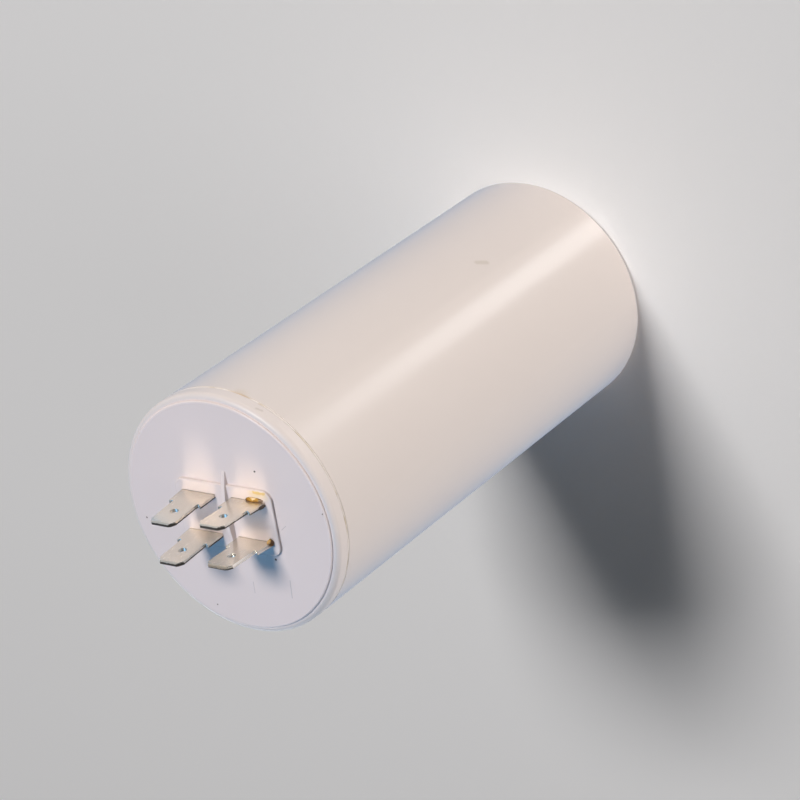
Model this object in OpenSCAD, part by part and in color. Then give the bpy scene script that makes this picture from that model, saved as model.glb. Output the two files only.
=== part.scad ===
// Motor-run film capacitor: a round moulded can, standing on its base, with push-on tabs on its lid.
// Millimetres, +Z up along the can's axis, origin at the middle of the base. X runs across the poles,
// Y along the barrier rib.

/* [Case] */
// Outer diameter of the can
case_d = 55; // [45:0.5:70]
// Height of the can up to the seam with the lid
case_h = 116; // [80:1:150]
// Thickness of the can's side wall
case_wall = 1.4; // [1:0.1:2.2]
// Thickness of the can's floor
case_floor = 1.8; // [1.2:0.1:3]
// Rounding of the can's bottom edge
case_edge_r = 1; // [0.4:0.1:1.6]
// Rounding inside the can, where the wall meets the floor
case_inner_r = 1; // [0.4:0.1:2]
// Width of the ring that the can stands on
foot_w = 4.5; // [3:0.5:8]
// Depth of the shallow dish inside that ring
foot_h = 0.6; // [0.3:0.1:1]
// Diameter of the moulding gate's mark in the dish
gate_d = 5; // [3:0.5:8]
// Height of the gate's mark
gate_h = 0.2; // [0.1:0.05:0.25]

/* [Lid] */
// Height of the lid's rim above the seam
lid_h = 4; // [3.4:0.1:6]
// Rounding of the lid's outer edge
lid_edge_r = 1.2; // [0.6:0.1:2]
// Thickness of the lid's plate
lid_plate = 2.8; // [2.2:0.1:3.2]
// Width of the rim round the raised face
rim_w = 1.4; // [1.3:0.1:3]
// Height of the raised face above the rim
face_h = 0.5; // [0.2:0.05:0.6]
// Bevel round the edge of the raised face
face_bevel = 0.25; // [0.1:0.05:0.4]
// Depth that the lid's plug reaches into the can
plug_h = 4; // [2:0.5:8]
// Wall of the plug
plug_wall = 1.6; // [1:0.1:2.5]
// Radial gap between the plug and the can
plug_gap = 0.1; // [0.05:0.05:0.2]
// Bevel on both edges of the seam
seam_bevel = 0.3; // [0.15:0.05:0.4]

/* [Terminal pad] */
// Size of the raised pad across the poles
pad_w = 25.5; // [24.5:0.5:30]
// Size of the raised pad along the rib
pad_l = 15.2; // [13:0.2:18]
// Height of the pad above the face
pad_h = 0.6; // [0.3:0.1:1.2]
// Rounding of the pad's corners
pad_r = 2.5; // [1:0.5:4]
// Bevel round the pad's top edge
pad_bevel = 0.2; // [0.05:0.05:0.3]
// Thickness of the barrier rib at its foot
rib_t = 1.6; // [1:0.1:2]
// Thickness of the rib along its crown
rib_crown_t = 1; // [0.5:0.1:1.5]
// Length of the barrier rib
rib_l = 21.2; // [17:0.2:26]
// Height of the rib's crown above the face
rib_h = 1.9; // [1.4:0.1:3]
// Sideways place of the rib from the lid's middle
rib_x = 0.8; // [-0.9:0.1:0.9]

/* [Tabs] */
// Distance between the two poles
pole_pitch = 13.1; // [12.8:0.1:15]
// Distance between the two tabs of one pole
tab_pitch = 9.1; // [8:0.1:10.5]
// Thickness of the tab metal
tab_t = 0.8; // [0.5:0.1:1]
// Width of the push-on blade
blade_w = 6.3; // [4.8:0.1:6.5]
// Length of the blade from its shoulders to its tip
blade_l = 8.5; // [7.8:0.1:10]
// Width of the tab at its foot
shank_w = 8.8; // [8.5:0.1:9.2]
// Width of the tab across its shoulders
shoulder_w = 8.3; // [7.8:0.1:8.5]
// Height of the shoulders above the pad
shank_h = 4.7; // [3:0.1:6]
// Corner cut at the tip, across the blade
tip_cut_w = 1; // [0.6:0.1:1.6]
// Corner cut at the tip, along the blade
tip_cut_l = 1.4; // [1:0.1:2.4]
// Bevel on both faces of the tip
tip_bevel = 0.12; // [0.05:0.01:0.2]
// Length of that bevel along the blade
tip_bevel_l = 0.45; // [0.2:0.05:0.9]
// Diameter of the detent hole
detent_d = 1.9; // [1.4:0.1:2.2]
// Distance of the detent hole from the tip
detent_drop = 5.1; // [3.5:0.1:5.6]
// Radius of the relief notch below each shoulder
notch_r = 0.35; // [0.2:0.05:0.5]
// Inside radius of the bend between a tab and its bridge
tab_bend_r = 0.6; // [0.4:0.1:1]
// Lean of the left pole's tabs towards +Y, in degrees
lean_left = -3.2; // [-5:0.1:5]
// Lean of the right pole's tabs towards +Y, in degrees
lean_right = 2.5; // [-5:0.1:5]
// Gap round a tab in its slot
slot_gap = 0.05; // [0.02:0.01:0.2]

/* [Winding] */
// Resin between the winding and the can's wall
resin_side = 1.6; // [0.8:0.1:3]
// Resin between the can's floor and the lower end of the winding
resin_under = 2.5; // [1.5:0.1:5]
// Resin above the upper end of the winding
resin_over = 4; // [2:0.5:8]
// Air between the resin and the lid's plug
head_gap = 1; // [0.5:0.5:4]
// Outer diameter of the tube that the film is wound on
core_d = 12; // [10:0.5:16]
// Wall of that tube
core_wall = 1.7; // [1:0.1:2]
// Thickness of the sprayed metal on each end of the winding
spray_t = 0.6; // [0.3:0.1:1]

/* [Leads] */
// Width of the ribbon leads
ribbon_w = 4; // [2.5:0.5:4.5]
// Thickness of the ribbon leads
ribbon_t = 0.4; // [0.2:0.1:0.6]
// Inside radius of the ribbons' bends
ribbon_r = 0.8; // [0.5:0.1:1.2]
// Length of ribbon that is welded to a winding end
foot_weld = 9; // [5:0.5:14]
// Length of ribbon that is welded to a terminal
head_weld = 4; // [3:0.5:6]

/* [Hidden] */
$fn = 96;
// Small overlap that keeps joined shapes and cuts clean
eps = 0.01;
// How far a crossing shape runs past what it crosses
past = 1;

case_r = case_d / 2;
cavity_r = case_r - case_wall;
cavity_z = foot_h + case_floor;

face_z = case_h + lid_h;
face_r = case_r - rim_w;
rim_z = face_z - face_h;
plate_z = face_z - lid_plate;
plug_r = cavity_r - plug_gap;
plug_z = case_h - plug_h;
pad_z = face_z + pad_h;
// Radius of the arc that the rib's crown follows
rib_arc_r = (rib_l * rib_l / 4 + rib_h * rib_h) / (2 * rib_h);

pole_x = pole_pitch / 2;
leg_in = tab_pitch / 2 - tab_t / 2;
shoulder_z = pad_z + shank_h;
tip_z = shoulder_z + blade_l;
detent_z = tip_z - detent_drop;
// A seat under the plate holds the bridge clear of its own bends
seat_h = tab_bend_r + slot_gap;
bridge_top = plate_z - seat_h;
bridge_z = bridge_top - tab_t;
seat_l = 2 * (leg_in - tab_bend_r - slot_gap);

winding_r = cavity_r - resin_side;
winding_z = cavity_z + resin_under;
resin_z = plug_z - head_gap;
winding_top = resin_z - resin_over;
core_r = core_d / 2;
core_bore_r = core_r - core_wall;

// The upper ribbon: its riser, where its folds begin across, and the height of the lower fold
riser_x = pole_x - head_weld / 2;
fold_x = riser_x + ribbon_t + ribbon_r;
fold_z = winding_top + ribbon_t + ribbon_r;
// Both ribbons fold onto the terminals' bridges at this height
head_fold_z = bridge_z - ribbon_t - ribbon_r;

// Half section, from its middle out, of a slab with its top edge bevelled
module slab_section(half, h, bevel) {
    polygon([[0, 0], [half, 0], [half, h - bevel], [half - bevel, h], [0, h]]);
}

// A run of that slab along Y, with both its sides bevelled
module slab_run(w, l, h, bevel) {
    rotate([90, 0, 0])
        linear_extrude(l, center = true)
            for (flip = [0, 1])
                mirror([flip, 0])
                    slab_section(w / 2, h, bevel);
}

// A slab with rounded corners and a bevelled top edge, about its middle
module bevelled_slab(w, l, h, r, bevel) {
    slab_run(w, l - 2 * r, h, bevel);
    rotate(90)
        slab_run(l, w - 2 * r, h, bevel);
    for (x = [-1, 1], y = [-1, 1])
        translate([x * (w / 2 - r), y * (l / 2 - r), 0])
            rotate_extrude()
                slab_section(r, h, bevel);
}

// Half section of an upright round body whose outer edge is rounded at the bottom
module half_section(r, h, edge) {
    translate([0, edge])
        square([r, h - edge]);
    square([r - edge, h]);
    translate([r - edge, edge])
        circle(edge);
}

// Half section of the space inside the can, up to the height given
module cavity_section(top) {
    translate([0, cavity_z])
        half_section(cavity_r, top - cavity_z, case_inner_r);
}

// The moulded can: wall, floor, and a ring to stand on
module case() {
    color("#e9e2dc") {
        rotate_extrude()
            difference() {
                half_section(case_r, case_h, case_edge_r);
                cavity_section(case_h + eps);
                translate([0, -eps])
                    square([case_r - foot_w, foot_h + eps]);
                // Bevel at the seam
                translate([case_r, case_h])
                    rotate(45)
                        square(seam_bevel * sqrt(2), center = true);
            }
        translate([0, 0, foot_h - gate_h])
            cylinder(d = gate_d, h = gate_h + eps);
    }
}

// Half section of the lid: rim, raised face, plate and plug
module lid_section() {
    difference() {
        union() {
            translate([0, rim_z])
                mirror([0, 1])
                    half_section(case_r, rim_z - case_h, lid_edge_r);
            polygon([
                [0, plate_z], [face_r, plate_z], [face_r, face_z - face_bevel],
                [face_r - face_bevel, face_z], [0, face_z]
            ]);
            translate([0, plug_z])
                square([plug_r, case_h - plug_z + eps]);
        }
        translate([0, plug_z - eps])
            square([plug_r - plug_wall, plate_z - plug_z + eps]);
        // Bevel at the seam
        translate([case_r, case_h])
            rotate(45)
                square(seam_bevel * sqrt(2), center = true);
    }
}

// The barrier rib: the top of a thin disc on edge, whose sides taper to its crown
module barrier_rib() {
    foot_r = rib_arc_r - rib_h;
    translate([rib_x, 0, face_z])
        intersection() {
            translate([-rib_t / 2, -rib_l / 2, -face_h])
                cube([rib_t, rib_l, rib_h + face_h]);
            translate([0, 0, -foot_r])
                rotate([0, 90, 0])
                    rotate_extrude()
                        polygon([
                            [0, -rib_t / 2], [foot_r, -rib_t / 2], [rib_arc_r, -rib_crown_t / 2],
                            [rib_arc_r, rib_crown_t / 2], [foot_r, rib_t / 2], [0, rib_t / 2]
                        ]);
        }
}

// A seat for one terminal's bridge under the plate, with its two slots cut later
module bridge_seat(x) {
    translate([x - shank_w / 2, -seat_l / 2, bridge_top])
        cube([shank_w, seat_l, seat_h + eps]);
}

// The two slots that one terminal's tabs pass through
module tab_slots(x) {
    slot_w = shank_w + 2 * slot_gap;
    slot_l = tab_t + 2 * slot_gap;
    for (side = [-1, 1])
        translate([x - slot_w / 2, side * tab_pitch / 2 - slot_l / 2, plate_z - eps])
            cube([slot_w, slot_l, pad_z - plate_z + 2 * eps]);
}

// The moulded lid, with its pad, barrier rib and terminal seats
module lid() {
    color("#ece5e6")
        difference() {
            union() {
                rotate_extrude()
                    lid_section();
                translate([0, 0, face_z - eps])
                    bevelled_slab(pad_w, pad_l, pad_h + eps, pad_r, pad_bevel);
                barrier_rib();
                for (side = [-1, 1])
                    bridge_seat(side * pole_x);
            }
            for (side = [-1, 1])
                tab_slots(side * pole_x);
        }
}

// Quarter of a ring about the origin; turn says which quarter
module quarter_ring(r_in, t, turn) {
    rotate(turn * 90)
        intersection() {
            difference() {
                circle(r_in + t);
                circle(r_in);
            }
            square(r_in + t + past);
        }
}

// A point of a leg's upper part, measured from where it leaves the pad, after it has leaned over
function leaned(p, lean) = [p.x * cos(lean) + p.y * sin(lean), pad_z - p.x * sin(lean) + p.y * cos(lean)];

// One leg of the terminal's side view: upright in its slot, leaning above the pad, and with its tip
// bevelled on both faces
module leg_profile(lean) {
    half = tab_t / 2;
    low = bridge_top + tab_bend_r;
    reach = tip_z - pad_z;
    // Rise of the bend's line from the leg's middle to its face
    slant = half * tan(lean / 2);
    upper = [
        [half, reach - tip_bevel_l], [half - tip_bevel, reach],
        [tip_bevel - half, reach], [-half, reach - tip_bevel_l]
    ];
    polygon(concat(
        [[-half, pad_z + slant], [-half, low], [half, low], [half, pad_z - slant]],
        [for (p = upper) leaned(p, lean)]
    ));
}

// Side view of the folded strip: bridge, two bends and two legs
module terminal_profile(lean) {
    bend_y = leg_in - tab_bend_r;
    translate([-bend_y, bridge_z])
        square([2 * bend_y, tab_t]);
    for (flip = [0, 1])
        mirror([flip, 0]) {
            translate([bend_y, bridge_top + tab_bend_r])
                quarter_ring(tab_bend_r, tab_t, 3);
            translate([tab_pitch / 2, 0])
                leg_profile(flip == 0 ? lean : -lean);
        }
}

// Front view of the strip: shank, shoulders with relief notches, and a blade with its corners cut
module terminal_outline() {
    right = [
        [shank_w / 2, bridge_z - past], [shank_w / 2, pad_z], [shoulder_w / 2, shoulder_z],
        [blade_w / 2, shoulder_z], [blade_w / 2, tip_z - tip_cut_l], [blade_w / 2 - tip_cut_w, tip_z]
    ];
    left = [for (i = [len(right) - 1:-1:0]) [-right[i].x, right[i].y]];
    difference() {
        polygon(concat(right, left));
        for (side = [-1, 1])
            translate([side * (blade_w / 2 + notch_r), shoulder_z])
                circle(notch_r);
    }
}

// One pole's terminal: a stamped strip folded into a U, with two push-on tabs that lean one way
module terminal(x, lean) {
    translate([x, 0, 0])
        difference() {
            intersection() {
                rotate([90, 0, 90])
                    linear_extrude(shank_w + past, center = true)
                        terminal_profile(lean);
                rotate([90, 0, 0])
                    linear_extrude(2 * tab_pitch, center = true)
                        terminal_outline();
            }
            for (side = [-1, 1])
                translate([0, side * tab_pitch / 2, pad_z])
                    rotate([-lean, 0, 0])
                        translate([0, 0, detent_z - pad_z])
                            rotate([90, 0, 0])
                                cylinder(d = detent_d, h = tab_t + 2 * past, center = true);
        }
}

module terminal_left() {
    color("#c9c0b2")
        terminal(-pole_x, lean_left);
}

module terminal_right() {
    color("#c9c0b2")
        terminal(pole_x, lean_right);
}

// An upright tube
module tube(r_out, r_in, z, top) {
    translate([0, 0, z])
        linear_extrude(top - z)
            difference() {
                circle(r_out);
                circle(r_in);
            }
}

// The plastic tube that the film is wound on
module winding_core() {
    color("#dfe3e6")
        tube(core_r, core_bore_r, winding_z, winding_top);
}

// The wound metallised film, all its turns as one roll
module film_winding() {
    color("#b9bec4")
        tube(winding_r, core_r, winding_z + spray_t, winding_top - spray_t);
}

// Sprayed metal that joins the turns on the lower end
module end_spray_lower() {
    color("#8f9296")
        tube(winding_r, core_r, winding_z, winding_z + spray_t);
}

// Sprayed metal that joins the turns on the upper end
module end_spray_upper() {
    color("#8f9296")
        tube(winding_r, core_r, winding_top - spray_t, winding_top);
}

// Gives a ribbon's side view its width
module ribbon() {
    rotate([90, 0, 0])
        linear_extrude(ribbon_w, center = true)
            children();
}

// Ribbon from the lower winding end, up through the core, to the left terminal
module lead_lower() {
    half = ribbon_t / 2;
    turn_x = half + ribbon_r;
    low = winding_z + ribbon_r;
    color("#c8c4bd")
        ribbon() {
            translate([turn_x, winding_z - ribbon_t])
                square([core_r + foot_weld - turn_x, ribbon_t]);
            translate([turn_x, low])
                quarter_ring(ribbon_r, ribbon_t, 2);
            translate([-half, low])
                square([ribbon_t, head_fold_z - low]);
            translate([-turn_x, head_fold_z])
                quarter_ring(ribbon_r, ribbon_t, 0);
            translate([-pole_x - head_weld / 2, bridge_z - ribbon_t])
                square([pole_x + head_weld / 2 - turn_x, ribbon_t]);
        }
}

// Ribbon from the upper winding end to the right terminal
module lead_upper() {
    color("#c8c4bd")
        ribbon() {
            translate([fold_x, winding_top])
                square([core_r + foot_weld - fold_x, ribbon_t]);
            translate([fold_x, fold_z])
                quarter_ring(ribbon_r, ribbon_t, 2);
            translate([riser_x, fold_z])
                square([ribbon_t, head_fold_z - fold_z]);
            translate([fold_x, head_fold_z])
                quarter_ring(ribbon_r, ribbon_t, 1);
            translate([fold_x, bridge_z - ribbon_t])
                square([riser_x + head_weld - fold_x, ribbon_t]);
        }
}

// Cast resin that fills the can round the winding and inside its core
module potting() {
    color("#6f6a5e")
        difference() {
            rotate_extrude()
                cavity_section(resin_z);
            tube(winding_r, core_bore_r, winding_z, winding_top);
            lead_lower();
            lead_upper();
            // The resin doesn't reach into the tight fold on the winding's end
            ribbon()
                translate([riser_x, winding_top])
                    square([fold_x - riser_x, fold_z - winding_top]);
        }
}

case();
lid();
terminal_left();
terminal_right();
winding_core();
film_winding();
end_spray_lower();
end_spray_upper();
lead_lower();
lead_upper();
potting();
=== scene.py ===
import math

import bmesh
import bpy
from mathutils import Matrix, Vector, noise


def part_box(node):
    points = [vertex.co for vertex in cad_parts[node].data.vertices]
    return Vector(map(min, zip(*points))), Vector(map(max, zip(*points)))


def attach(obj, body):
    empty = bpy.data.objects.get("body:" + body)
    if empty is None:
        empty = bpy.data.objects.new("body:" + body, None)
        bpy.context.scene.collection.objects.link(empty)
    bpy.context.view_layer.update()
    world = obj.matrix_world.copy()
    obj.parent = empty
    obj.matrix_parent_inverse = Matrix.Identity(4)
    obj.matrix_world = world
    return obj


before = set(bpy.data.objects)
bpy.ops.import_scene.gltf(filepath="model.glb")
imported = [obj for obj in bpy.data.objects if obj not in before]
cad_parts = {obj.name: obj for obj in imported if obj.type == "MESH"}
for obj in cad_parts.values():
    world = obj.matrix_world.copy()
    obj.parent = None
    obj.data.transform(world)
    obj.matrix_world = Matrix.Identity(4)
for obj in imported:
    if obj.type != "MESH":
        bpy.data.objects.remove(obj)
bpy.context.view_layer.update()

MM = 0.001

# The can and the tabs, from the frame
can_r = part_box("case")[1].x
seam_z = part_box("case")[1].z
tab_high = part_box("terminal_right")[1]

# The lid: its face above the seam, its pad above the face, and the outlines of both
LID_H = 4 * MM
PAD_H = 0.6 * MM
FACE_R = 26.1 * MM
PAD_HALF = Vector((12.75 * MM, 7.6 * MM, 0))
PAD_CORNER = 2.5 * MM
face_z = seam_z + LID_H
pad_z = face_z + PAD_H

# The tabs: their middle planes where they leave the pad, and how far each pole's tabs lean towards +Y
TAB_T = 0.8 * MM
TAB_Y = 4.55 * MM
POLE_X = 6.55 * MM
LEAN_LEFT = math.radians(-3.2)
LEAN_RIGHT = math.radians(2.5)
# Measured down from a tab's tip: its detent hole, and where its finish changes for its cut corners and
# for its bevel
DETENT_DROP = 5.1 * MM
CORNERS_DROP = 1.5 * MM
BEVEL_DROP = 0.5 * MM

# Grit on the lid's face, as x, y and half size in mm
SPECKS = [
    (9.4, 11.6, 0.24), (10.5, -8.5, 0.26), (25.2, 4.2, 0.16), (-23.1, -3.8, 0.18), (-8.1, -22.2, 0.14),
]
# Scratches on the lid's face, as x and y of both ends and a width in mm
SCRATCHES = [
    ((13.2, -13.0), (12.9, -17.1), 0.18), ((3.1, -14.9), (3.0, -17.6), 0.12),
    ((13.6, -1.2), (14.9, -0.1), 0.12),
]
# Flux that has soaked into the pad behind the right pole's upper tab, as the ends of a line in mm
FLUX_STAIN = [(8.5, 6.95), (11.3, 7.0)]
# Flux on the right pole's tabs, as middles and half sizes in mm: a bead on the upper tab's foot, a drop
# at the lower tab's outer edge, and a burnt crust under the upper tab's outer edge
FLUX_BEAD = (POLE_X / MM + 1.75, (TAB_Y + TAB_T / 2) / MM + 0.25, pad_z / MM)
FLUX_BEAD_HALF = (2.2, 0.68, 0.48)
FLUX_DROP = (tab_high.x / MM - 0.1, (TAB_T / 2 - TAB_Y) / MM + 0.1, pad_z / MM + 0.4)
FLUX_DROP_HALF = (0.75, 0.75, 0.75)
FLUX_CRUST = (tab_high.x / MM, (TAB_Y + TAB_T / 2) / MM - 0.5, pad_z / MM + 0.9)
FLUX_CRUST_HALF = (0.22, 0.36, 1.1)
# A smear on the can's wall and a scuff on the lid's rim, as turns in degrees and heights in mm
SMEAR = [(62.6, 38.6), (59.8, 36.8)]
RIM_SCUFF = [(65.8, 117.9), (63.4, 117.6)]
# Turn of the brown stain on the seam
SEAM_STAIN = 78


def on_wall(turn, z):
    """A point on the can's wall, from its turn round the can in degrees and its height."""
    turn = math.radians(turn)
    return Vector((can_r * math.cos(turn), can_r * math.sin(turn), z))


def rgb(red, green, blue):
    """A colour as a shader socket takes it."""
    return (red, green, blue, 1.0)


class Graph:
    """One procedural material. A method that makes a value returns the socket that carries it."""

    def __init__(self, name, **constants):
        self.material = bpy.data.materials.new(name)
        self.material.use_nodes = True
        self.tree = self.material.node_tree
        self.shader = self.tree.nodes["Principled BSDF"]
        self.shade(**constants)
        coords = self.node("TexCoord")
        self.place = coords.outputs["Object"]
        self.facing = coords.outputs["Normal"]

    def shade(self, **feeds):
        """Feeds the shader's sockets, by plain names such as base_color, and returns the material."""
        sockets = {s.name.lower().replace(" ", "_"): s for s in self.shader.inputs}
        for key, value in feeds.items():
            self.feed(sockets[key], value)
        return self.material

    def feed(self, socket, value):
        """Links a socket to another, or sets it to a constant."""
        if isinstance(value, bpy.types.NodeSocket):
            self.tree.links.new(value, socket)
        else:
            socket.default_value = value

    def node(self, kind, feeds=(), **settings):
        """A new node, with its settings and with what feeds its inputs."""
        made = self.tree.nodes.new("ShaderNode" + kind)
        for key, value in settings.items():
            setattr(made, key, value)
        for key, value in feeds:
            self.feed(made.inputs[key], value)
        return made

    def math(self, operation, *values):
        return self.node("Math", enumerate(values), operation=operation).outputs[0]

    def product(self, first, *others):
        for other in others:
            first = self.math("MULTIPLY", first, other)
        return first

    def vector(self, operation, *values):
        made = self.node("VectorMath", enumerate(values), operation=operation)
        scalar = operation in ("LENGTH", "DISTANCE", "DOT_PRODUCT")
        return made.outputs["Value" if scalar else "Vector"]

    def split(self, vector):
        """The parts of a vector, by the names of the axes."""
        return self.node("SeparateXYZ", [(0, vector)]).outputs

    def noise(self, size, detail=2.0, stretch=(1, 1, 1)):
        """Noise from 0 to 1 with features of about the size given, drawn out along some axes."""
        place = self.vector("DIVIDE", self.place, stretch)
        feeds = [("Vector", place), ("Scale", 1 / size), ("Detail", detail)]
        return self.node("TexNoise", feeds).outputs["Fac"]

    def ragged(self, size, detail, swing):
        """Noise about zero that spans the swing given."""
        return self.product(self.math("SUBTRACT", self.noise(size, detail), 0.5), swing)

    def level(self, value, low, high, to_low=0.0, to_high=1.0):
        """Carries the range low to high over to another, with soft ends."""
        feeds = [("Value", value), ("From Min", low), ("From Max", high),
                 ("To Min", to_low), ("To Max", to_high)]
        return self.node("MapRange", feeds, interpolation_type="SMOOTHSTEP").outputs[0]

    def step(self, value, at, width, below=0.0, above=1.0):
        """Goes from one value to another about the place given, within the width given."""
        return self.level(value, at - width / 2, at + width / 2, below, above)

    def fade(self, distance, full, gone, strength=1.0):
        """As strong as given up to one distance, and fading to nothing at another."""
        return self.level(distance, full, gone, strength, 0)

    def mix(self, share, low, high):
        """Goes from one colour to another with the share."""
        feeds = [(0, share), (6, low), (7, high)]
        return self.node("Mix", feeds, data_type="RGBA").outputs[2]

    def near_line(self, start, end):
        """Distance of the surface from a straight line between two points."""
        along = end - start
        offset = self.vector("SUBTRACT", self.place, start)
        run = self.math("DIVIDE", self.vector("DOT_PRODUCT", offset, along), along.length_squared)
        run = self.node("Clamp", [("Value", run)]).outputs[0]
        nearest = self.node("VectorMath", [(0, along), ("Scale", run)], operation="SCALE")
        return self.vector("DISTANCE", offset, nearest.outputs["Vector"])

    def soft_edges(self, radius):
        """Shades edges as if they were rounded."""
        return self.node("Bevel", [("Radius", radius)], samples=8).outputs[0]

    def bump(self, height, depth, under=None):
        """A relief of the depth given over the whole range of height, on top of another."""
        feeds = [("Height", height), ("Distance", depth), ("Strength", 1.0)]
        if under is not None:
            feeds.append(("Normal", under))
        return self.node("Bump", feeds).outputs["Normal"]


def case_plastic():
    """Warm white moulded plastic, slightly uneven, with a faint smear and a brown stain at the seam."""
    g = Graph("case_plastic", ior=1.49)
    cloud = g.noise(30 * MM)
    colour = g.mix(cloud, rgb(0.735, 0.642, 0.583), rgb(0.745, 0.654, 0.596))
    smear = g.near_line(*(on_wall(turn, z * MM) for turn, z in SMEAR))
    colour = g.mix(g.fade(smear, 0.2 * MM, 1.0 * MM, 0.3), colour, rgb(0.45, 0.36, 0.24))
    stain = g.vector("DISTANCE", g.place, on_wall(SEAM_STAIN, seam_z))
    colour = g.mix(g.fade(stain, 0.3 * MM, 2.6 * MM, 0.2), colour, rgb(0.6, 0.42, 0.2))
    rough = g.level(cloud, 0.3, 0.7, 0.21, 0.24)
    relief = g.bump(g.noise(0.5 * MM), 0.002 * MM)
    return g.shade(base_color=colour, roughness=rough, normal=relief)


def pad_reach(g):
    """Distance of the surface from a line inside the pad's outline, which it follows at its corners'
    radius. It is zero inside that line."""
    flat = g.vector("ABSOLUTE", g.vector("MULTIPLY", g.place, (1, 1, 0)))
    inner = PAD_HALF - Vector((PAD_CORNER, PAD_CORNER, 0))
    return g.vector("LENGTH", g.vector("MAXIMUM", g.vector("SUBTRACT", flat, inner), (0, 0, 0)))


def pad_dirt_and_shade(g, reach):
    """Patchy dirt and painted crease shade along the pad's foot, on the side towards +X."""
    place = g.split(g.place)
    crease = g.math("ABSOLUTE", g.math("SUBTRACT", reach, PAD_CORNER + 0.08 * MM))
    side = g.level(place["X"], 10.2 * MM, 12.2 * MM)
    low = g.fade(place["Z"], face_z + PAD_H / 2, pad_z)
    patchy = g.level(g.noise(2 * MM, 3), 0.3, 0.7, 0.12, 0.3)
    return g.product(g.fade(crease, 0.04 * MM, 0.28 * MM), side, low, patchy)


def soak_flux(g, colour, reach):
    """Flux that has soaked into the pad: a narrow stain, with a halo that ends at the pad's edge."""
    ends = (Vector((x * MM, y * MM, pad_z)) for x, y in FLUX_STAIN)
    soaked = g.math("ADD", g.near_line(*ends), g.ragged(0.9 * MM, 3, 0.7 * MM))
    on_pad = g.fade(reach, PAD_CORNER - 0.5 * MM, PAD_CORNER - 0.1 * MM)
    halo = g.product(g.fade(soaked, 0.2 * MM, 2.3 * MM, 0.42), on_pad)
    colour = g.mix(halo, colour, rgb(0.8, 0.62, 0.28))
    return g.mix(g.fade(soaked, 0.1 * MM, 0.5 * MM, 0.75), colour, rgb(0.74, 0.49, 0.11))


def scratches(g):
    """How deep the surface lies in a scratch on the lid's face, from 0 to 1."""
    deep = 0.0
    for *ends, width in SCRATCHES:
        line = g.near_line(*(Vector((x * MM, y * MM, face_z)) for x, y in ends))
        deep = g.math("MAXIMUM", deep, g.fade(line, 0, width * MM))
    return deep


def lid_plastic():
    """Cooler white plastic, with a duller rim, a scuff, dirt and painted shade by the pad, scratches and
    a flux stain.
    """
    g = Graph("lid_plastic", ior=1.5)
    colour = g.mix(g.noise(12 * MM), rgb(0.817, 0.69, 0.645), rgb(0.837, 0.71, 0.665))
    radius = g.vector("LENGTH", g.vector("MULTIPLY", g.place, (1, 1, 0)))
    colour = g.mix(g.level(radius, FACE_R, FACE_R + 0.5 * MM), colour, rgb(0.76, 0.665, 0.612))
    scuff = g.near_line(*(on_wall(turn, z * MM) for turn, z in RIM_SCUFF))
    scuff = g.math("ADD", scuff, g.ragged(0.4 * MM, 2, 0.5 * MM))
    colour = g.mix(g.fade(scuff, 0.05 * MM, 0.5 * MM, 0.3), colour, rgb(0.36, 0.28, 0.2))
    reach = pad_reach(g)
    # Dirt and painted shade darken the crease at the pad's foot towards +X
    colour = g.mix(pad_dirt_and_shade(g, reach), colour, rgb(0.12, 0.095, 0.08))
    colour = soak_flux(g, colour, reach)
    scored = scratches(g)
    colour = g.mix(g.product(scored, 0.45), colour, rgb(0.3, 0.26, 0.24))
    rough = g.level(g.noise(5 * MM, 3), 0.3, 0.7, 0.2, 0.25)
    rough = g.math("ADD", rough, g.level(radius, FACE_R - 0.7 * MM, FACE_R - 0.2 * MM, 0, 0.18))
    relief = g.bump(g.noise(0.35 * MM), 0.0015 * MM, g.soft_edges(0.3 * MM))
    relief = g.bump(g.math("SUBTRACT", 1.0, scored), 0.02 * MM, relief)
    return g.shade(base_color=colour, roughness=rough, normal=relief)


class TabGraph(Graph):
    """The metal of one pole's tabs, with values that tell the parts of the tabs from each other."""

    def __init__(self, name, lean):
        super().__init__(name)
        place = self.split(self.place)
        facing = self.split(self.vector("ABSOLUTE", self.facing))
        self.y, self.z = place["Y"], place["Z"]
        # Sheared edges, and those of them that run along the tabs' sides
        self.edge = self.level(facing["Y"], 0.7, 0.95, 1, 0)
        self.sideways = facing["X"]
        # The lower tab, and the ends of both
        self.lower = self.step(self.y, 0, 2 * MM, 1, 0)
        self.end = self.step(self.z, tab_high.z - CORNERS_DROP, 0.4 * MM)
        # Height above the middle plane of the tab
        leaned = self.product(self.math("SUBTRACT", self.z, pad_z), math.tan(lean))
        middle = self.math("ADD", self.product(self.math("SIGN", self.y), TAB_Y), leaned)
        self.above = self.math("SUBTRACT", self.y, middle)


def torn_edges(g, pole_x, clean_lower_with_glint):
    """Where the sheared edges are torn: below a ragged limit, which is higher at the tabs' ends."""
    limit = g.math("ADD", g.ragged(0.35 * MM, 3, 0.5 * MM), g.level(g.end, 0, 1, -0.1 * MM, 0.25 * MM))
    if clean_lower_with_glint:
        limit = g.math("SUBTRACT", limit, g.product(g.lower, 0.3 * MM))
    torn = g.step(g.math("SUBTRACT", g.above, limit), 0, 0.12 * MM, 1, 0)
    # The shoulders and the detent hole are burnished right through
    hole = (pole_x, 0, tab_high.z - DETENT_DROP)
    off_hole = g.vector("DISTANCE", g.vector("MULTIPLY", g.place, (1, 0, 1)), hole)
    rough_cut = g.math("MAXIMUM", g.level(g.sideways, 0.2, 0.6), g.end)
    return g.product(g.edge, rough_cut, g.step(off_hole, 1.2 * MM, 0.2 * MM), torn)


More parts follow.
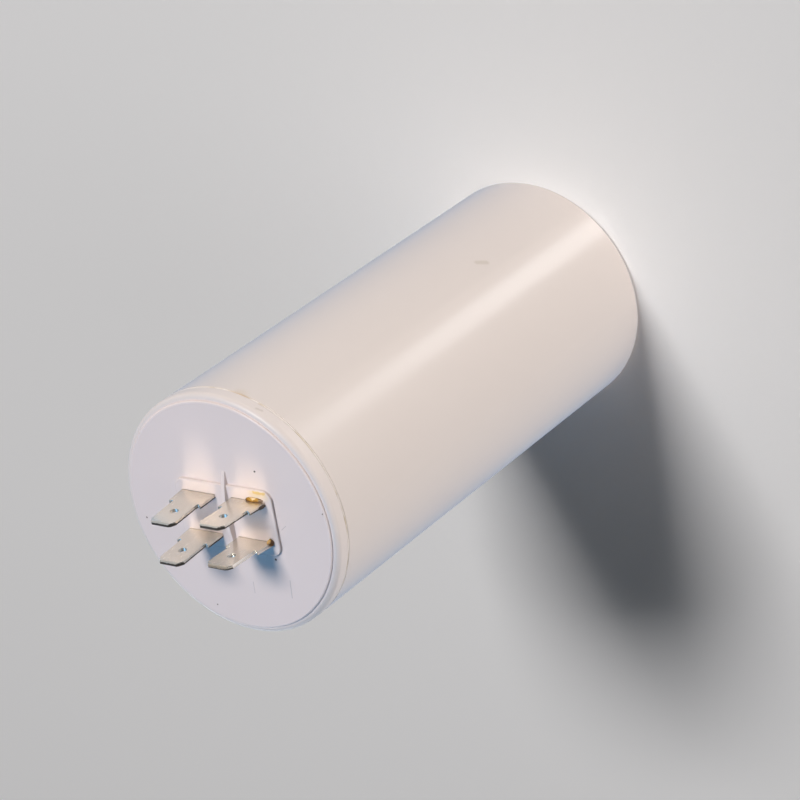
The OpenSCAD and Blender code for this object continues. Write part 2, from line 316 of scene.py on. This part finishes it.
def tin(g, lower_dull):
    """Blotchy tin, with flux run down from the bead. The tabs are greyer and darker towards their feet,
    and the lower tab's by the share given."""
    colour = g.mix(g.noise(2.2 * MM, 3), rgb(0.86, 0.78, 0.66), rgb(0.92, 0.845, 0.73))
    off_bead = g.vector("DISTANCE", g.place, Vector(FLUX_BEAD) * MM)
    colour = g.mix(g.fade(off_bead, 1.5 * MM, 3.2 * MM, 0.45), colour, rgb(0.85, 0.66, 0.26))
    # Greyer and darker towards the tabs' feet
    foot = g.product(g.fade(g.z, pad_z, pad_z + 4 * MM, 0.55), g.step(g.y, 0, 2 * MM, lower_dull, 1))
    return g.mix(foot, colour, rgb(0.46, 0.45, 0.43))


def polish_and_glint_lower(g, looks, torn):
    """A lower tab that was sheared clean: its edge is smooth and rolls over towards its upper face, and
    its sides carry a pale line that is a painted highlight."""
    smooth = g.product(g.edge, g.lower, 0.1, g.math("SUBTRACT", 1, torn))
    # A pale line along the lower tab's sides: a painted highlight
    line = g.product(g.level(g.sideways, 0.6, 0.9), g.lower, g.level(g.above, -0.2 * MM, -0.05 * MM))
    line = g.product(line, g.math("SUBTRACT", 1, g.math("MAXIMUM", torn, g.end)))
    roll = g.fade(g.above, -0.2 * MM, 0.4 * MM)
    looks["roughness"] = g.math("SUBTRACT", looks["roughness"], smooth)
    looks["normal"] = g.bump(roll, g.product(g.lower, 0.386 * MM), looks["normal"])
    looks["base_color"] = g.mix(line, looks["base_color"], rgb(0.96, 0.9, 0.84))
    looks["metallic"] = g.level(line, 0, 1, looks["metallic"], 0.1)


def tinned_metal(name, pole_x, lean, clean_lower_with_glint=False):
    """Tin with faint rolling lines on the faces. A sheared edge is burnished next to the upper face and
    torn and dark below, and the bevel at the tip is rubbed dull."""
    g = TabGraph(name, lean)
    torn = torn_edges(g, pole_x, clean_lower_with_glint)
    tip = g.step(g.z, tab_high.z - BEVEL_DROP, 0.2 * MM)
    colour = g.mix(g.product(tip, 0.65), tin(g, 0.6 if clean_lower_with_glint else 0), rgb(0.46, 0.38, 0.29))
    colour = g.mix(torn, colour, rgb(0.11, 0.088, 0.07))
    lines = g.noise(0.12 * MM, 3, (1, 1, 40))
    rough = g.math("ADD", g.level(lines, 0.2, 0.8, 0.22, 0.28), g.product(torn, 0.3))
    rough = g.math("ADD", rough, g.product(tip, 0.15))
    relief = g.bump(g.noise(1.5 * MM), 0.006 * MM, g.bump(lines, 0.0015 * MM))
    looks = {"base_color": colour, "metallic": 0.75, "roughness": rough, "normal": relief}
    # The lower tab also gets a painted highlight line along its sides
    if clean_lower_with_glint:
        polish_and_glint_lower(g, looks, torn)
    return g.shade(**looks)


def metallised_film():
    """Wound metallised film: fine bands round the roll."""
    g = Graph("metallised_film", metallic=0.8)
    bands = g.noise(0.5 * MM, 2, (60, 60, 1))
    colour = g.mix(bands, rgb(0.36, 0.38, 0.42), rgb(0.52, 0.54, 0.57))
    return g.shade(base_color=colour, roughness=g.level(bands, 0.2, 0.8, 0.25, 0.4))


def sprayed_zinc():
    """Coarse sprayed metal."""
    g = Graph("sprayed_zinc", metallic=0.9)
    grain = g.noise(0.5 * MM, 4)
    colour = g.mix(grain, rgb(0.2, 0.2, 0.21), rgb(0.42, 0.42, 0.43))
    relief = g.bump(grain, 0.15 * MM)
    return g.shade(base_color=colour, roughness=g.level(grain, 0.2, 0.8, 0.5, 0.75), normal=relief)


def core_plastic():
    """Plain extruded tube."""
    g = Graph("core_plastic", ior=1.49)
    streaks = g.noise(0.8 * MM, 2, (1, 1, 25))
    colour = g.mix(streaks, rgb(0.68, 0.70, 0.72), rgb(0.76, 0.78, 0.79))
    return g.shade(base_color=colour, roughness=g.level(streaks, 0.2, 0.8, 0.35, 0.5))


def lead_metal():
    """Tinned ribbon with drawing lines along it."""
    g = Graph("lead_metal", metallic=1.0)
    lines = g.noise(0.15 * MM, 3, (20, 1, 20))
    colour = g.mix(lines, rgb(0.5, 0.47, 0.42), rgb(0.68, 0.66, 0.61))
    return g.shade(base_color=colour, roughness=g.level(lines, 0.2, 0.8, 0.25, 0.4))


def cast_resin():
    """Cast filler with clouds and small pinholes, which are painted darker as painted shade."""
    g = Graph("cast_resin", ior=1.52)
    cloud = g.noise(6 * MM, 4)
    holes = g.fade(g.noise(0.9 * MM, 1), 0.2, 0.34)
    colour = g.mix(cloud, rgb(0.13, 0.12, 0.095), rgb(0.2, 0.18, 0.145))
    # Painted shade in the pinholes
    colour = g.mix(holes, colour, rgb(0.05, 0.045, 0.04))
    relief = g.bump(g.math("SUBTRACT", 1.0, holes), 0.15 * MM)
    return g.shade(base_color=colour, roughness=g.level(cloud, 0.3, 0.7, 0.4, 0.6), normal=relief)


def flash_plastic():
    """Remelted plastic on the seam, yellowed here and there and brown at the stain."""
    g = Graph("flash_plastic", ior=1.49)
    patch = g.level(g.noise(3 * MM, 3), 0.4, 0.7)
    colour = g.mix(patch, rgb(0.88, 0.80, 0.74), rgb(0.72, 0.61, 0.48))
    stain = g.vector("DISTANCE", g.place, on_wall(SEAM_STAIN, seam_z))
    colour = g.mix(g.fade(stain, 1 * MM, 3.4 * MM, 0.4), colour, rgb(0.5, 0.27, 0.07))
    relief = g.bump(g.noise(0.3 * MM), 0.02 * MM)
    return g.shade(base_color=colour, roughness=g.level(patch, 0, 1, 0.3, 0.42), normal=relief)


def flux(name, middle, half_sizes, crown, clear_and_glint, least_rough):
    """Amber flux residue, darker at its rim, where burnt flux and painted shade lie away from its crown,
    and paler at its crown, where a pale colour is a painted highlight. Middle and half sizes are in mm,
    the crown is the way that the residue faces and that its painted light falls from, and clear_and_glint
    and least_rough are its colour and finish there."""
    g = Graph(name, ior=1.6)
    spread = g.vector("SUBTRACT", g.place, Vector(middle) * MM)
    spread = g.vector("DIVIDE", spread, Vector(half_sizes) * MM)
    height = g.vector("DOT_PRODUCT", spread, Vector(crown).normalized())
    height = g.math("ADD", height, g.ragged(0.5 * MM, 3, 0.5))
    # Darker away from the crown: burnt flux and painted shade. A pale crown colour is a painted highlight
    colour = g.mix(g.level(height, 0.5, 0.9), rgb(0.13, 0.05, 0.006), rgb(0.55, 0.3, 0.05))
    colour = g.mix(g.level(height, 0.88, 1.0), colour, clear_and_glint)
    rough = g.level(height, 0.4, 0.9, least_rough + 0.1, least_rough)
    return g.shade(base_color=colour, roughness=rough)


def grime():
    """Dark grit."""
    g = Graph("grime")
    grain = g.noise(0.1 * MM)
    colour = g.mix(grain, rgb(0.06, 0.04, 0.03), rgb(0.16, 0.11, 0.08))
    return g.shade(base_color=colour, roughness=g.level(grain, 0.2, 0.8, 0.5, 0.8))


def add_object(name, data):
    """Puts a mesh, light or camera in the scene."""
    made = bpy.data.objects.new(name, data)
    bpy.context.scene.collection.objects.link(made)
    return made


def add_mesh(name, bm, material):
    """Puts a finished, smooth mesh in the scene."""
    for face in bm.faces:
        face.smooth = True
    mesh = bpy.data.meshes.new(name)
    bm.to_mesh(mesh)
    bm.free()
    mesh.materials.append(material)
    return add_object(name, mesh)


def seam_flash(material):
    """An uneven weld bead that lies in the seam's groove, flush with the wall."""
    turns, sides = 900, 10
    half_w, inset = 0.2 * MM, 0.01 * MM
    # Waves in the bead's half width and in its height, as swings and how closely they follow each other
    waves = [(0.05 * MM, 4), (0.035 * MM, 17), (0.03 * MM, 60)]
    sway, sway_often = 0.05 * MM, 9
    # Keeps the two kinds of waves apart
    shift = Vector((7, 0, 0))
    bm = bmesh.new()
    rings = []
    for i in range(turns):
        turn = 2 * math.pi * i / turns
        out = Vector((math.cos(turn), math.sin(turn), 0))
        half = half_w + sum(swing * noise.noise(out * often) for swing, often in waves)
        centre = out * (can_r - inset - half)
        centre.z = seam_z + sway * noise.noise(out * sway_often + shift)
        ring = []
        for k in range(sides):
            angle = 2 * math.pi * k / sides
            spoke = out * math.cos(angle) + Vector((0, 0, math.sin(angle)))
            ring.append(bm.verts.new(centre + half * spoke))
        rings.append(ring)
    for ring, after in zip(rings, rings[1:] + rings[:1]):
        for k in range(sides):
            bm.faces.new((ring[k], after[k], after[k - 1], ring[k - 1]))
    bmesh.ops.recalc_face_normals(bm, faces=bm.faces)
    piece = add_mesh("seam_flash", bm, material)
    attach(piece, "root")


def blob(name, material, centre, half_sizes, tilt, unevenness):
    """A rounded lump with an uneven skin; centre and half sizes in mm, tilt about Z in degrees."""
    # How closely its coarse and its fine bumps follow each other, and how high the fine ones are
    coarse, fine, fine_share = 1.7, 4, 0.4
    bm = bmesh.new()
    bmesh.ops.create_icosphere(bm, subdivisions=4, radius=1)
    middle = Vector(centre)
    turn = Matrix.Rotation(math.radians(tilt), 3, "Z")
    for vert in bm.verts:
        swell = noise.noise(vert.co * coarse + middle) + fine_share * noise.noise(vert.co * fine + middle)
        swollen = vert.co * (1 + unevenness * swell)
        sized = Vector(a * b for a, b in zip(swollen, half_sizes))
        vert.co = (middle + turn @ sized) * MM
    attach(add_mesh(name, bm, material), "root")


def residues():
    """Flux left at the right pole's tabs, and grit on the lid."""
    # The bead's pale crown colour is a painted highlight, and each residue's darker side is painted shade
    # as well as burnt flux
    bead = flux("flux_upper", FLUX_BEAD, FLUX_BEAD_HALF, crown=(0, 0.7, 0.7),
                clear_and_glint=rgb(0.9, 0.7, 0.42), least_rough=0.1)
    drop = flux("flux_lower", FLUX_DROP, FLUX_DROP_HALF, crown=(-0.3, 0.8, 0.6),
                clear_and_glint=rgb(0.66, 0.36, 0.06), least_rough=0.4)
    dirt = grime()
    blob("flux_upper", bead, FLUX_BEAD, FLUX_BEAD_HALF, tilt=0, unevenness=0.2)
    blob("flux_lower", drop, FLUX_DROP, FLUX_DROP_HALF, tilt=10, unevenness=0.25)
    blob("flux_burnt", dirt, FLUX_CRUST, FLUX_CRUST_HALF, tilt=0, unevenness=0.35)
    for number, (x, y, half) in enumerate(SPECKS):
        # A speck is flat, a little longer than wide, and turned its own way
        half_sizes = (half, 0.8 * half, 0.09)
        blob(f"speck_{number}", dirt, (x, y, face_z / MM), half_sizes, tilt=40 * number, unevenness=0.45)


def dress():
    """Gives every CAD node its finish."""
    zinc, ribbon = sprayed_zinc(), lead_metal()
    finishes = {
        "case": case_plastic(), "lid": lid_plastic(),
        "terminal_left": tinned_metal("tinned_left", -POLE_X, LEAN_LEFT),
        "terminal_right": tinned_metal("tinned_right", POLE_X, LEAN_RIGHT, clean_lower_with_glint=True),
        "winding_core": core_plastic(), "film_winding": metallised_film(),
        "end_spray_lower": zinc, "end_spray_upper": zinc,
        "lead_lower": ribbon, "lead_upper": ribbon, "potting": cast_resin(),
    }
    for name, material in finishes.items():
        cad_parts[name].material_slots[0].material = material


# The floor's radius, and the distances between which it turns into the glow of the horizon
FLOOR_R = 12
GLOW_FROM, GLOW_TO = 0.2, 1.0
HORIZON = (0.545, 0.555, 0.575)
# The sky's colours by the height of the direction, from -1 to 1
SKY = [(-0.08, (0.21, 0.36, 0.57)), (-0.02, HORIZON), (0.1, HORIZON), (0.14, (0.03, 0.036, 0.043))]
# Each light's turn and rise in degrees, distance, width and height in metres, radiance and colour
LIGHTS = {
    "key": (103, 57, 2.4, 0.72, 0.72, 27.8, (1, 0.963, 0.93)),
    "highlight": (51.5, -53, 1.2, 0.27, 0.45, 3.8, (0.97, 0.98, 0.98)),
    "low": (0, -20, 1.4, 1.6, 0.5, 5.8, (1, 0.963, 0.93)),
    "low_back": (100, -22, 1.4, 2.0, 0.5, 1.0, (0.95, 0.98, 1)),
    "fill": (6, 42, 1.3, 0.5, 0.5, 0.85, (0.95, 0.98, 1)),
    "far": (-110, 72, 1.4, 1.0, 1.0, 1.9, (0.13, 0.5, 1)),
    "rear": (-125, -9, 1.4, 1.0, 0.5, 2.8, (0.92, 0.96, 1)),
}
# The light that only lifts the shaded side and shows in no reflection, and the bluish one that colours
# the tabs' shadows and leaves the floor alone
MATT_LIGHT = "low"
SHADE_LIGHT = "far"
# The point that the lights face
AIM = Vector((0, 0, 60 * MM))


def floor():
    """A plain pale floor. Reflections and shadows look past it, so that the lights below its level reach
    the can. Far out it glows like the horizon, and a low view shows no dark edge."""
    g = Graph("floor", emission_color=rgb(*HORIZON))
    tone = g.noise(0.4)
    far = g.level(g.vector("LENGTH", g.place), GLOW_FROM, GLOW_TO)
    colour = g.mix(tone, rgb(0.82, 0.83, 0.85), rgb(0.84, 0.85, 0.87))
    colour = g.mix(far, colour, rgb(0, 0, 0))
    rough = g.level(tone, 0, 1, 0.6, 0.7)
    material = g.shade(base_color=colour, roughness=rough, emission_strength=far)
    material.cycles.emission_sampling = "NONE"
    bm = bmesh.new()
    bmesh.ops.create_circle(bm, cap_ends=True, segments=128, radius=FLOOR_R)
    made = add_mesh("floor", bm, material)
    made.visible_glossy = False
    made.visible_shadow = False
    return made


def softbox(name, turn, rise, distance, width, height, radiance, colour):
    """A rectangular area light that faces the part, from its turn about +Z and its rise in degrees."""
    data = bpy.data.lights.new(name, "AREA")
    data.shape = "RECTANGLE"
    data.size = width
    data.size_y = height
    data.energy = radiance * math.pi * width * height
    data.color = colour
    turn, rise = math.radians(turn), math.radians(rise)
    level = math.cos(rise)
    out = Vector((math.cos(turn) * level, math.sin(turn) * level, math.sin(rise)))
    made = add_object(name, data)
    made.location = AIM + out * distance
    made.rotation_euler = out.to_track_quat("Z", "Y").to_euler()
    return made


def sky():
    """A backdrop that is dark above, pale at the horizon and bluish below."""
    world = bpy.data.worlds.new("studio")
    world.use_nodes = True
    world.cycles.sampling_method = "NONE"
    tree = world.node_tree
    split = tree.nodes.new("ShaderNodeSeparateXYZ")
    tree.links.new(tree.nodes.new("ShaderNodeTexCoord").outputs["Generated"], split.inputs[0])
    height = tree.nodes.new("ShaderNodeMapRange")
    height.inputs["From Min"].default_value = -1
    tree.links.new(split.outputs["Z"], height.inputs["Value"])
    ramp = tree.nodes.new("ShaderNodeValToRGB")
    stops = ramp.color_ramp.elements
    stops.remove(stops[1])
    for number, (level, colour) in enumerate(SKY):
        share = (level + 1) / 2
        stop = stops.new(share) if number else stops[0]
        stop.position = share
        stop.color = rgb(*colour)
    tree.links.new(height.outputs[0], ramp.inputs[0])
    tree.links.new(ramp.outputs["Color"], tree.nodes["Background"].inputs["Color"])
    bpy.context.scene.world = world


def studio():
    """Floor, lights and sky."""
    ground = floor()
    lights = {name: softbox(name, *values) for name, values in LIGHTS.items()}
    lights[MATT_LIGHT].visible_glossy = False
    spared = bpy.data.collections.new("spared")
    spared.objects.link(ground)
    spared.collection_objects[0].light_linking.link_state = "EXCLUDE"
    lights[SHADE_LIGHT].light_linking.receiver_collection = spared
    sky()
    scene = bpy.context.scene
    scene.view_settings.view_transform = "Standard"
    # Light thrown off the bright tabs stays sharp on the lid
    scene.cycles.blur_glossy = 0.1


def camera():
    """The photograph's viewpoint, rolled as the part lies in it."""
    turn, rise, roll = (math.radians(angle) for angle in (124.74, 45.63, -126.21))
    target = Vector((1.33, -0.97, 59.46)) * MM
    distance = 677.84 * MM
    level = math.cos(rise)
    back = Vector((math.sin(turn) * level, -math.cos(turn) * level, math.sin(rise)))
    level_right = Vector((math.cos(turn), math.sin(turn), 0))
    right = math.cos(roll) * level_right + math.sin(roll) * back.cross(level_right)
    basis = Matrix((right, back.cross(right), back)).transposed()
    data = bpy.data.cameras.new("camera")
    data.sensor_width = 36
    data.lens = 138.24
    made = add_object("camera", data)
    made.matrix_world = Matrix.LocRotScale(target + back * distance, basis.to_quaternion(), None)
    bpy.context.scene.camera = made


dress()
seam_flash(flash_plastic())
residues()
studio()
camera()
